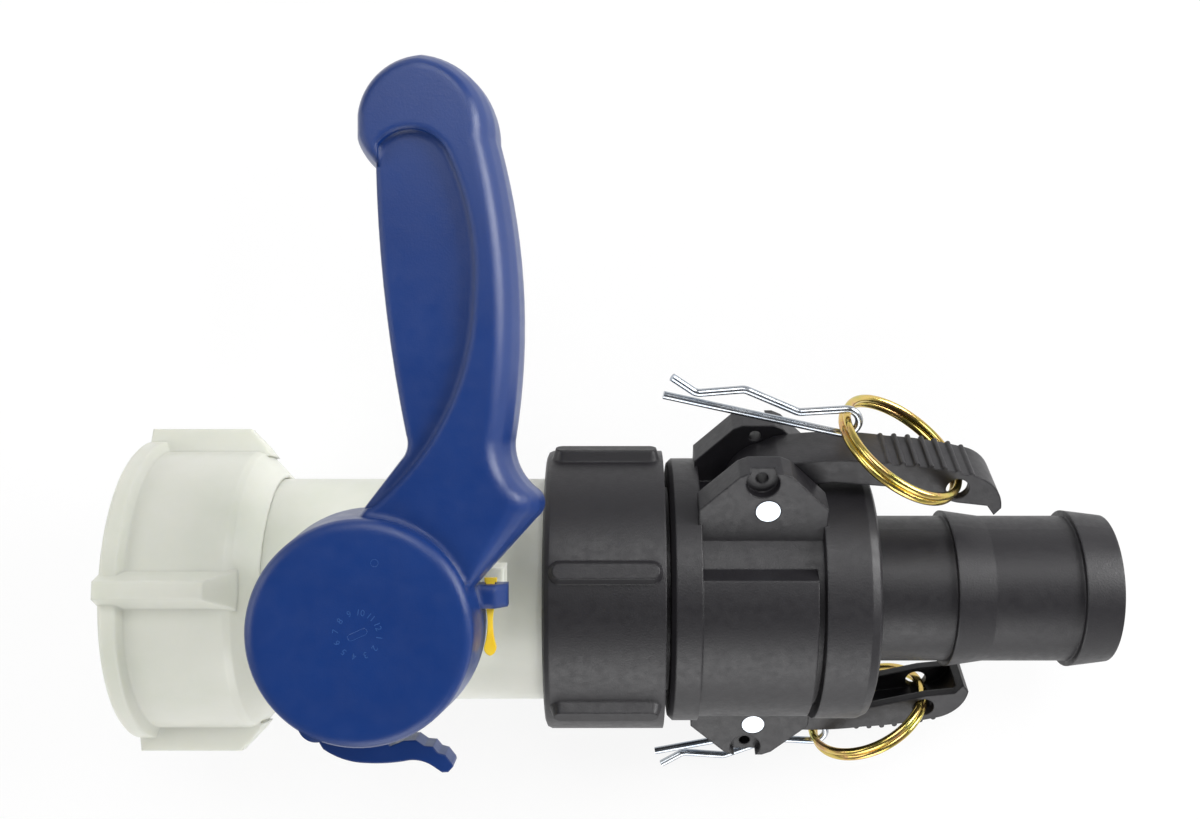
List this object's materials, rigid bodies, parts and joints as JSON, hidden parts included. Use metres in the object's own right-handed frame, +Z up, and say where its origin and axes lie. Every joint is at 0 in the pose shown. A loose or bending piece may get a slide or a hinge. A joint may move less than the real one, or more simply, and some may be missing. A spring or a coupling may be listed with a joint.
{
  "type": "ibc tank valve",
  "caption": "Plastic butterfly outlet valve with a quarter-turn lever, inlet union nut, coarse-thread outlet adapter and barbed cam-lock hose coupler with safety clips.",
  "frame": {"origin": "centre of the inlet nut's open end, on the pipe axis", "axes": "+X along the pipe towards the hose tail, +Y the way the closed handle points, +Z up the stem"},
  "size_m": [0.253, 0.1818, 0.1193],
  "materials": {
    "white_moulding": "natural off-white, slightly translucent, satin",
    "blue_moulding": "royal blue, fine satin",
    "black_moulding": "black, fine satin",
    "grey_moulding": "grey, glass-filled",
    "rubber": "black, soft",
    "yellow_strap": "yellow, glossy",
    "steel": "bright zinc plate",
    "yellow_zinc": "yellow chromate zinc plate"
  },
  "bodies": {
    "valve": {"valve_body": "white_moulding", "inlet_gasket": "rubber", "stem_bush": "grey_moulding"},
    "inlet_nut": {"inlet_nut": "white_moulding"},
    "handle": {"handle": "blue_moulding", "stem": "grey_moulding", "stem_o_rings": "rubber", "valve_disc": "white_moulding", "disc_seal": "rubber", "seal_tag": "yellow_strap", "lock_pin": "steel", "lock_spring": "steel"},
    "lock": {"lock_lever": "blue_moulding"},
    "adapter_carrier": {"outlet_gasket": "rubber"},
    "adapter": {"ibc_adapter": "black_moulding"},
    "coupler": {"coupler_body": "black_moulding", "coupler_gasket": "rubber", "pivot_pin_upper": "steel", "pivot_pin_lower": "steel"},
    "cam_arm_upper": {"cam_arm_upper": "black_moulding"},
    "pull_ring_upper": {"pull_ring_upper": "yellow_zinc"},
    "safety_clip_upper": {"safety_clip_upper": "steel"},
    "cam_arm_lower": {"cam_arm_lower": "black_moulding"},
    "pull_ring_lower": {"pull_ring_lower": "yellow_zinc"},
    "safety_clip_lower": {"safety_clip_lower": "steel"}
  },
  "joints": [
    {"name": "handle_turn", "type": "hinge", "parent": "valve", "child": "handle", "pos_m": [0.0693, 0, 0.058], "axis": [0, 0, -1], "range_deg": [0, 90]},
    {"name": "lock_press", "type": "hinge", "parent": "handle", "child": "lock", "pos_m": [0.0604, -0.019, 0.0512], "axis": [0, 0, 1], "range_deg": [0, 6], "stiffness_Nm_per_rad": 0.02},
    {"name": "inlet_nut_spin", "type": "hinge", "parent": "valve", "child": "inlet_nut", "pos_m": [0.015, 0, 0], "axis": [1, 0, 0], "continuous": true},
    {"name": "adapter_travel", "type": "slide", "parent": "valve", "child": "adapter_carrier", "axis": [1, 0, 0], "range_m": [0, 0.018]},
    {"name": "adapter_unscrew", "type": "hinge", "parent": "adapter_carrier", "child": "adapter", "pos_m": [0.12, 0, 0], "axis": [1, 0, 0], "range_deg": [0, 1080]},
    {"name": "coupler_swivel", "type": "hinge", "parent": "adapter", "child": "coupler", "pos_m": [0.16, 0, 0], "axis": [1, 0, 0], "continuous": true},
    {"name": "cam_arm_upper_swing", "type": "hinge", "parent": "coupler", "child": "cam_arm_upper", "pos_m": [0.1613, 0.03017, 0.01813], "axis": [0, -0.515, 0.8572], "range_deg": [0, 105]},
    {"name": "pull_ring_upper_swing", "type": "hinge", "parent": "cam_arm_upper", "child": "pull_ring_upper", "pos_m": [0.2091, 0.0312, 0.01875], "axis": [0, 0.515, -0.8572], "range_deg": [0, 100]},
    {"name": "safety_clip_upper_swing", "type": "hinge", "parent": "pull_ring_upper", "child": "safety_clip_upper", "pos_m": [0.18068, 0.04454, 0.02676], "axis": [0, -0.515, 0.8572], "range_deg": [-60, 15]},
    {"name": "cam_arm_lower_swing", "type": "hinge", "parent": "coupler", "child": "cam_arm_lower", "pos_m": [0.1613, -0.03017, -0.01813], "axis": [0, 0.515, -0.8572], "range_deg": [0, 105]},
    {"name": "pull_ring_lower_swing", "type": "hinge", "parent": "cam_arm_lower", "child": "pull_ring_lower", "pos_m": [0.2091, -0.0312, -0.01875], "axis": [0, -0.515, 0.8572], "range_deg": [0, 100]},
    {"name": "safety_clip_lower_swing", "type": "hinge", "parent": "pull_ring_lower", "child": "safety_clip_lower", "pos_m": [0.18068, -0.04454, -0.02676], "axis": [0, 0.515, -0.8572], "range_deg": [-60, 15]}
  ],
  "couplings": [
    {"joint": "adapter_travel", "follows": "adapter_unscrew", "m_per_rad": 0.00095493},
    {"joint": "pull_ring_upper_swing", "follows": "cam_arm_upper_swing", "ratio": 0.8},
    {"joint": "pull_ring_lower_swing", "follows": "cam_arm_lower_swing", "ratio": 0.8}
  ]
}
